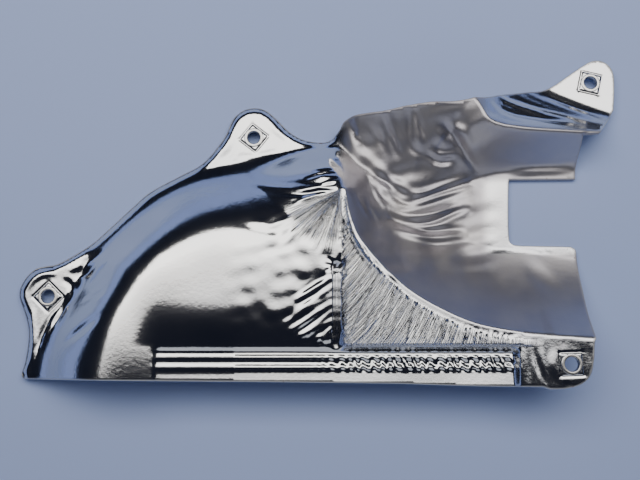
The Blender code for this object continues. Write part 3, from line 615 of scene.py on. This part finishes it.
def closedSheet(name, step, fineStep, rim, depths, hem=False, square=0.0):
    # Two faces of one thin sheet, walled round its holes and its edge, or hemmed there.
    xy, faces = planMesh(step, fineStep, rim, square)
    z = surface(xy[:, 0], xy[:, 1])
    tilt = upright(xy[:, 0], xy[:, 1])
    count, around = len(xy), len(rim)
    upper = np.column_stack([xy, z - depths[0] / tilt])
    lower = np.column_stack([xy, z - depths[1] / tilt])
    allFaces = [tuple(f) for f in faces] + [(f[2] + count, f[1] + count, f[0] + count) for f in faces]
    rows = []
    if hem:
        upper[:around, :2] = insetLoop(rim, stack["hemRounding"])
        lower[:around, :2] = insetLoop(rim, stack["hemRounding"])
        second = insetLoop(rim, stack["hemWidth"])
        secondZ, secondUp = surface(second[:, 0], second[:, 1]), upright(second[:, 0], second[:, 1])
        slope = secondZ - z[:around]
        for gap, depth in hemChain:
            share = gap / stack["hemWidth"]
            level = z[:around] + slope * share - depth / (tilt[:around] * (1 - share) + secondUp * share)
            rows.append(np.column_stack([insetLoop(rim, gap) if gap else rim, level]))
        chain = [range(around)] + [range(2 * count + i * around, 2 * count + (i + 1) * around)
                                   for i in range(len(rows))] + [range(count, count + around)]
        for one, two in zip(chain[:-1], chain[1:]):
            for i in range(around):
                j = (i + 1) % around
                allFaces.append((one[i], one[j], two[j], two[i]))
    for a, b in borderOf(faces):
        if hem and a < around and b < around:
            continue
        allFaces.append((b, a, a + count))
        allFaces.append((b, a + count, b + count))
    return pieceFrom(name, np.vstack([upper, lower] + rows), allFaces)


outerSkin = closedSheet("outerSkin", stack["step"], stack["fineStep"], edge, stack["skin"], True)
print("outer skin", len(outerSkin.data.polygons), "faces")
innerEdge = insetLoop(outline(stack["innerOutlineStep"]), stack["inset"])
innerSkin = closedSheet("innerSkin", stack["innerStep"], 0.0, innerEdge, stack["inner"])
print("inner skin", len(innerSkin.data.polygons), "faces")
fibreLayer = closedSheet("fibreLayer", stack["innerStep"], 0.0, innerEdge, stack["mat"], square=stack["square"])
print("mat", len(fibreLayer.data.polygons), "faces")
for piece, nodeName in ((outerSkin, "outer_skin"), (innerSkin, "inner_skin"), (fibreLayer, "insulation_mat")):
    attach(piece, "root")
    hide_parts(nodeName)


rolledEyelet = {"bore": 4.35, "tube": 4.85, "flange": 6.5, "sheet": 0.5, "sides": 64,
                "above": 0.3, "below": 2.7}


def clearSelection():
    for thing in bpy.context.selected_objects:
        thing.select_set(False)


def makeEyelet(name, cx, cy, level):
    # A ring spun from one loop: up the bore, over the rolled flange, down the tube and under.
    spec = rolledEyelet
    high, deep, t = level + spec["above"], level - spec["below"], spec["sheet"]
    bore, tube, rim = spec["bore"], spec["tube"], spec["flange"]
    profile = [(bore, deep - t + 0.35), (bore, high + t - 0.42), (bore + 0.08, high + t - 0.2),
               (bore + 0.25, high + t - 0.05), (bore + 0.5, high + t), (rim - 0.55, high + t - 0.02),
               (rim - 0.2, high + t - 0.1), (rim - 0.03, high + t - 0.25), (rim, high + 0.12), (rim - 0.08, high),
               (tube, high), (tube, deep), (rim - 0.08, deep), (rim, deep - 0.12), (rim - 0.03, deep - t + 0.22),
               (rim - 0.25, deep - t + 0.05), (bore + 0.5, deep - t), (bore + 0.15, deep - t + 0.1)]
    clearSelection()
    at = Vector((cx + toFrame[0], cy + toFrame[1], profile[0][1] + toFrame[2])) * millimetre
    bpy.ops.mesh.primitive_circle_add(vertices=spec["sides"], radius=profile[0][0] * millimetre, location=at)
    ring = bpy.context.object
    ring.name = name
    bpy.ops.object.mode_set(mode="EDIT")
    bpy.ops.mesh.select_all(action="SELECT")
    for (r0, h0), (r1, h1) in zip(profile, profile[1:]):
        climb = (h1 - h0) * millimetre
        bpy.ops.mesh.extrude_region_move(TRANSFORM_OT_translate={"value": (0, 0, climb)})
        at.z += climb
        bpy.ops.transform.resize(value=(r1 / r0, r1 / r0, 1), center_override=at)
    bpy.ops.mesh.select_all(action="DESELECT")
    bpy.ops.object.mode_set(mode="OBJECT")
    sides, last = spec["sides"], len(ring.data.vertices) - spec["sides"]
    for vertex in ring.data.vertices:
        vertex.select = vertex.index < sides or vertex.index >= last
    for part in ring.data.edges:
        part.select = all(ring.data.vertices[i].select for i in part.vertices)
    bpy.ops.object.mode_set(mode="EDIT")
    bpy.ops.mesh.bridge_edge_loops()
    bpy.ops.mesh.select_all(action="SELECT")
    bpy.ops.mesh.normals_make_consistent(inside=False)
    bpy.ops.object.mode_set(mode="OBJECT")
    bpy.ops.object.transform_apply(location=True, rotation=True, scale=True)
    ring.data.shade_smooth()
    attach(ring, "root")
    return ring


eyelets = {}
for earName, (cx, cy, _) in ears.items():
    eyelets[earName] = makeEyelet("eyelet" + earName.capitalize(), cx, cy, earLevel(cy))
    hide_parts("eyelet_" + earName)
print("eyelets made")


class Value:
    # A socket that takes part in plain sums, adding its Math nodes as it goes.
    def __init__(self, shader, socket):
        self.shader = shader
        self.socket = socket

    def math(self, kind, other=None, swap=False):
        pair = (other, self) if swap else (self, other)
        values = {i: v for i, v in enumerate(pair) if v is not None}
        return self.shader.node("ShaderNodeMath", {"operation": kind}, values)

    def __add__(self, other): return self.math("ADD", other)
    def __radd__(self, other): return self.math("ADD", other)
    def __sub__(self, other): return self.math("SUBTRACT", other)
    def __rsub__(self, other): return self.math("SUBTRACT", other, True)
    def __mul__(self, other): return self.math("MULTIPLY", other)
    def __rmul__(self, other): return self.math("MULTIPLY", other)
    def __pow__(self, other): return self.math("POWER", other)


class Finish:
    # A material, and short ways to add and join its nodes.
    def __init__(self, name):
        self.material = bpy.data.materials.new(name)
        self.material.use_nodes = True
        self.tree = self.material.node_tree
        self.body = self.tree.nodes["Principled BSDF"]
        self.place = self.node("ShaderNodeTexCoord", {}, {}, "Object")

    def node(self, kind, settings, values, output=0):
        made = self.tree.nodes.new(kind)
        for key, value in settings.items():
            setattr(made, key, value)
        for key, value in values.items():
            self.feed(made.inputs[key], value)
        return Value(self, made.outputs[output])

    def feed(self, socket, value):
        if isinstance(value, Value):
            self.tree.links.new(value.socket, socket)
        else:
            socket.default_value = value

    def noise(self, scale, detail=3.0, roughness=0.55):
        return self.node("ShaderNodeTexNoise", {}, {"Vector": self.place, "Scale": scale, "Detail": detail,
                                                    "Roughness": roughness})

    def painted(self, label):
        return self.node("ShaderNodeAttribute", {"attribute_name": label}, {}, 2)

    def tint(self, factor, one, two):
        one, two = [c if isinstance(c, Value) else (*c, 1.0) for c in (one, two)]
        return self.node("ShaderNodeMix", {"data_type": "RGBA"}, {0: factor, 6: one, 7: two}, 2)

    def bump(self, strength, distance, height, under=None):
        values = {"Strength": strength, "Distance": distance, "Height": height}
        if under is not None:
            values["Normal"] = under
        return self.node("ShaderNodeBump", {}, values)

    def set(self, **values):
        for key, value in values.items():
            self.feed(self.body.inputs[key.replace("_", " ")], value)
        return self.material


# smoke is a painted shade colour: the channel's darker, bluish tone that stands in for its dark reflections.
brightLook = {"silver": (0.81, 0.80, 0.78), "cool": (0.62, 0.63, 0.65), "warm": (0.64, 0.60, 0.56),
              "paintedShadeSmoke": (0.35, 0.35, 0.43), "mirror": 0.085, "soft": 0.17, "satinRough": 0.45,
              "rimRough": 0.38, "rust": (0.16, 0.06, 0.025), "rustFrom": 0.655, "rustShare": 0.85}
steelLook = {"bright": (0.70, 0.69, 0.67), "worn": (0.50, 0.49, 0.47), "rough": 0.16, "wornRough": 0.2}
plateLook = {"bright": (0.55, 0.55, 0.56), "worn": (0.38, 0.37, 0.37), "rough": 0.3, "wornRough": 0.25}
fibreLook = {"light": (0.62, 0.60, 0.55), "dark": (0.40, 0.38, 0.34), "rough": 0.92}


def paintLayer(mesh, label, values):
    layer = mesh.attributes.new(label, "FLOAT", "POINT")
    layer.data.foreach_set("value", values.astype(np.float32))


def paintSheet(thing):
    # Per-point shares for the finish: satin with painted shade, fine pleats beside the ridge, and the rim.
    mesh = thing.data
    places = np.empty(len(mesh.vertices) * 3)
    mesh.vertices.foreach_get("co", places)
    places = places.reshape(-1, 3) * 1000 - np.array(toFrame)
    px, py = places[:, 0], places[:, 1]
    # The satin share carries the channel's dulling and also its painted shade.
    paintLayer(mesh, "satinAndShade", satinAndShadeShare(px, py))
    pleats = fans["arc"]
    lean = np.radians(pleats["lean"] + pleats["turning"] * np.clip((px - 16.0) / 100.0, 0.0, 1.0))
    besideArc = ramp(13.0, 17.0, px) * ramp(136.0, 118.0, px) * ramp(bendLimit(px) - 3.0, bendLimit(px) - 8.0, py)
    besideArc = besideArc * ramp(-68.5, -66.5, py)
    ax, ay = fans["apex"]["at"]
    away = np.hypot(px - ax, py - ay)
    turn = np.arctan2(ay - py, ax - px)
    fromApex = ramp(44.0, 14.0, away) * ramp(14.0, 10.0, px) * ramp(0.2, 0.7, turn) * ramp(2.0, 1.6, turn)
    across = np.where(besideArc > fromApex, px * np.sin(lean) - py * np.cos(lean), turn * 42.0)
    paintLayer(mesh, "streak", across * 0.1)
    paintLayer(mesh, "streakShare", np.maximum(besideArc, fromApex))
    rimGap, _ = nearest(px, py, np.vstack([edge[::3], edge[:1]]))
    paintLayer(mesh, "rim", ramp(2.6, 0.2, rimGap))


def brightSheet():
    finish = Finish("brightSheet")
    satinAndShade, rim = finish.painted("satinAndShade"), finish.painted("rim")
    cloud = finish.noise(11.0, 4.0)
    patch = finish.noise(34.0, 5.0)
    fine = finish.noise(420.0, 3.0)
    grain = finish.noise(1500.0, 2.0)
    streaky = finish.node("ShaderNodeMath", {"operation": "MULTIPLY_ADD", "use_clamp": True},
                          {0: cloud, 1: 2.6, 2: -0.8})
    body = finish.tint(streaky, brightLook["silver"], brightLook["cool"])
    # Painted shade: the channel gets a darker, bluish colour in place of its dark reflections; the real dulling is
    # in the roughness.
    dulledAndShaded = finish.tint(patch, brightLook["paintedShadeSmoke"], brightLook["warm"])
    colour = finish.tint(satinAndShade, body, dulledAndShaded)
    specks = finish.noise(190.0, 4.0, 0.7).math("GREATER_THAN", brightLook["rustFrom"])
    rusty = specks * rim * brightLook["rustShare"]
    colour = finish.tint(rusty, colour, brightLook["rust"])
    rough = brightLook["mirror"] + patch * (brightLook["soft"] - brightLook["mirror"])
    rough = rough + satinAndShade * (brightLook["satinRough"] - brightLook["soft"]) + (rim ** 3.0) * brightLook["rimRough"]
    streak, share = finish.painted("streak"), finish.painted("streakShare")
    lines = finish.node("ShaderNodeTexNoise", {"noise_dimensions": "1D"},
                        {"W": streak, "Scale": 9.0, "Detail": 3.0})
    pleats = finish.bump(0.9, 0.0021, lines * share)
    low = finish.bump(0.10, 0.0006, fine, pleats)
    bump = finish.bump(0.035, 0.0002, grain, low)
    return finish.set(Base_Color=colour, Metallic=1.0 - rusty * 0.7, Roughness=rough, Normal=bump)


def eyeletSteel():
    finish = Finish("eyeletSteel")
    worn = finish.noise(300.0, 4.0)
    bump = finish.bump(0.12, 0.0002, worn)
    return finish.set(Base_Color=finish.tint(worn, steelLook["bright"], steelLook["worn"]), Metallic=1.0,
                      Roughness=steelLook["rough"] + worn * steelLook["wornRough"], Normal=bump)


def plateSteel():
    finish = Finish("plateSteel")
    worn = finish.noise(120.0, 4.0)
    return finish.set(Base_Color=finish.tint(worn, plateLook["bright"], plateLook["worn"]), Metallic=1.0,
                      Roughness=plateLook["rough"] + worn * plateLook["wornRough"])


def fibreMat():
    finish = Finish("fibreMat")
    strands = finish.noise(900.0, 6.0, 0.7)
    bump = finish.bump(0.5, 0.0004, strands)
    return finish.set(Base_Color=finish.tint(strands, fibreLook["light"], fibreLook["dark"]),
                      Roughness=fibreLook["rough"], Normal=bump)


for piece in (outerSkin, innerSkin):
    paintSheet(piece)
bright = brightSheet()
outerSkin.data.materials.append(bright)
innerSkin.data.materials.append(bright)
steel = eyeletSteel()
for ring in eyelets.values():
    ring.data.materials.append(steel)
fibreLayer.data.materials.append(fibreMat())
plates = plateSteel()
for earName in ears:
    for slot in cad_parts["plate_" + earName].material_slots:
        slot.material = plates
print("finishes made")


studio = {"floor": (0.44, 0.55, 0.88), "floorSize": 6.0, "floorDrop": 0.0005, "paperRough": 0.8,
          "world": (0.010, 0.012, 0.022), "worldStrength": 1.0,
          "cove": {"radius": 2.1, "height": 0.40, "sides": 96, "glow": (0.30, 0.38, 0.66), "strength": 0.55},
          "camera": {"lens": 43.0, "tilt": 10.0, "away": 490.0, "aimHeight": 20.0, "nearest": 0.01},
          "tiltBelow": 0.8,                            # a light lower than this is aimed at the part
          "boxes": {                                   # place, size, power and colour of each soft light
              "mainBox": ((0.0, 0.48, 0.95), (1.7, 0.46), 8.2, (1.0, 0.985, 0.96)),
              "middleBox": ((0.0, 0.20, 0.955), (1.7, 0.10), 1.4, (1.0, 0.985, 0.965)),
              "fadeBox": ((0.0, 0.1025, 0.96), (1.7, 0.095), 1.0, (1.0, 0.985, 0.97)),
              "lowBox": ((0.0, 0.0075, 0.965), (1.7, 0.095), 0.65, (1.0, 0.985, 0.975)),
              "southBox": ((0.0, -1.5, 0.75), (2.6, 0.9), 5.0, (0.86, 0.90, 1.0)),
          }}


def makeStudio():
    bpy.ops.mesh.primitive_plane_add(size=studio["floorSize"], location=(0, 0, -studio["floorDrop"]))
    floor = bpy.context.object
    floor.name = "studioFloor"
    finish = Finish("floorPaper")
    finish.set(Base_Color=(*studio["floor"], 1.0), Roughness=studio["paperRough"])
    floor.data.materials.append(finish.material)
    cove = studio["cove"]
    bpy.ops.mesh.primitive_cylinder_add(vertices=cove["sides"], radius=cove["radius"], depth=cove["height"],
                                        end_fill_type="NOTHING", location=(0, 0, cove["height"] / 2))
    wall = bpy.context.object
    wall.name = "studioCove"
    wall.data.shade_smooth()
    paper = Finish("covePaper")
    paper.set(Base_Color=(*studio["floor"], 1.0), Roughness=studio["paperRough"],
              Emission_Color=(*cove["glow"], 1.0), Emission_Strength=cove["strength"])
    wall.data.materials.append(paper.material)
    world = bpy.data.worlds.new("studioWorld")
    bpy.context.scene.world = world
    world.use_nodes = True
    back = world.node_tree.nodes["Background"]
    back.inputs[0].default_value = (*studio["world"], 1.0)
    back.inputs[1].default_value = studio["worldStrength"]
    for lampName, (at, size, power, colour) in studio["boxes"].items():
        light = bpy.data.lights.new(lampName, "AREA")
        light.shape = "RECTANGLE"
        light.size, light.size_y = size
        light.energy = power
        light.color = colour
        lamp = bpy.data.objects.new(lampName, light)
        lamp.location = at
        if at[2] < studio["tiltBelow"]:
            aimed = Vector((0, 0, 0)) - Vector(at)
            lamp.rotation_euler = aimed.to_track_quat("-Z", "Y").to_euler()
        bpy.context.scene.collection.objects.link(lamp)
    view = studio["camera"]
    camera = bpy.data.cameras.new("camera")
    camera.lens = view["lens"]
    camera.clip_start = view["nearest"]
    eye = bpy.data.objects.new("camera", camera)
    tilt = math.radians(view["tilt"])
    aim = Vector((toFrame[0], toFrame[1], view["aimHeight"] + toFrame[2]))
    eye.location = (aim + Vector((0.0, -math.sin(tilt), math.cos(tilt))) * view["away"]) * millimetre
    eye.rotation_euler = (tilt, 0.0, 0.0)
    bpy.context.scene.collection.objects.link(eye)
    bpy.context.scene.camera = eye


makeStudio()
print("studio made")
